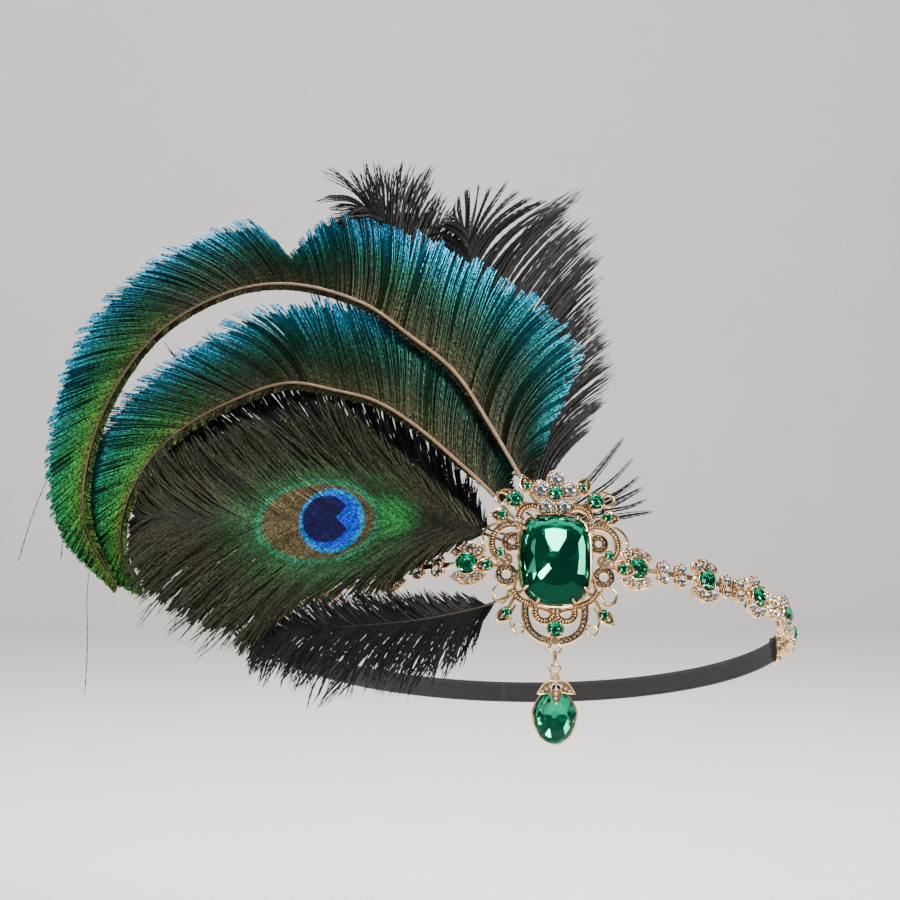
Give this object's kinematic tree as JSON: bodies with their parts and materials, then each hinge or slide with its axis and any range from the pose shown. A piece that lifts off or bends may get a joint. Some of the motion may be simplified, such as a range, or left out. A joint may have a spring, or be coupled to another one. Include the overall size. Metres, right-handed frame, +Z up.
{
  "type": "flapper feather headband",
  "caption": "Flapper headband: jewelled brooch with a hanging drop and a fan of feathers, on a rhinestone chain closed by an elastic band",
  "frame": {"origin": "middle of the loop that goes round the head, where the head sits", "axes": "+Z up as worn, -Y towards the front of the wearer and the face of the brooch, +X to the right as seen from the front, along the longest extent; the loop's plane is tilted 19 degrees, front edge raised"},
  "size_m": [0.2589, 0.1941, 0.1926],
  "materials": {
    "gold": "polished champagne gold plating, bright on the high beads and darker in the recesses",
    "emerald": "deep green foil-backed cut glass",
    "crystal": "clear foil-backed cut glass",
    "elastic": "woven black elastic",
    "sword_feather": "iridescent feather barbs, blue at the tips, green below them and dark at the quill",
    "eye_feather": "olive and bronze feather barbs round a blue eye",
    "plume": "soft black plume with silvery glints"
  },
  "bodies": {
    "headband": {"brooch_frame": "gold", "main_stone": "emerald", "stone_flower_top": "crystal", "stone_flower_right": "crystal", "stone_flower_low_right": "crystal", "stone_flower_low_left": "crystal", "stone_flower_left": "crystal", "stone_flower_middle": "emerald", "stone_corner_right": "emerald", "stone_corner_left": "emerald", "stone_tail": "emerald", "chain_right": "gold", "chain_left": "gold", "elastic_band": "elastic", "sword_feather_outer": "sword_feather", "sword_feather_inner": "sword_feather", "eye_feather": "eye_feather", "plume_right": "plume", "plume_top": "plume", "plume_back": "plume", "plume_low": "plume"},
    "link": {"drop_link": "gold"},
    "drop": {"drop_setting": "gold", "drop_stone": "emerald"}
  },
  "joints": [
    {"name": "link_swing", "type": "hinge", "parent": "headband", "child": "link", "pos_m": [0.0001, -0.10132, 0.00281], "axis": [1, 0, 0], "range_deg": [-60, 30]},
    {"name": "drop_swing", "type": "hinge", "parent": "link", "child": "drop", "pos_m": [0.0001, -0.10132, -0.00124], "axis": [0, 1, 0], "range_deg": [-30, 30]}
  ]
}
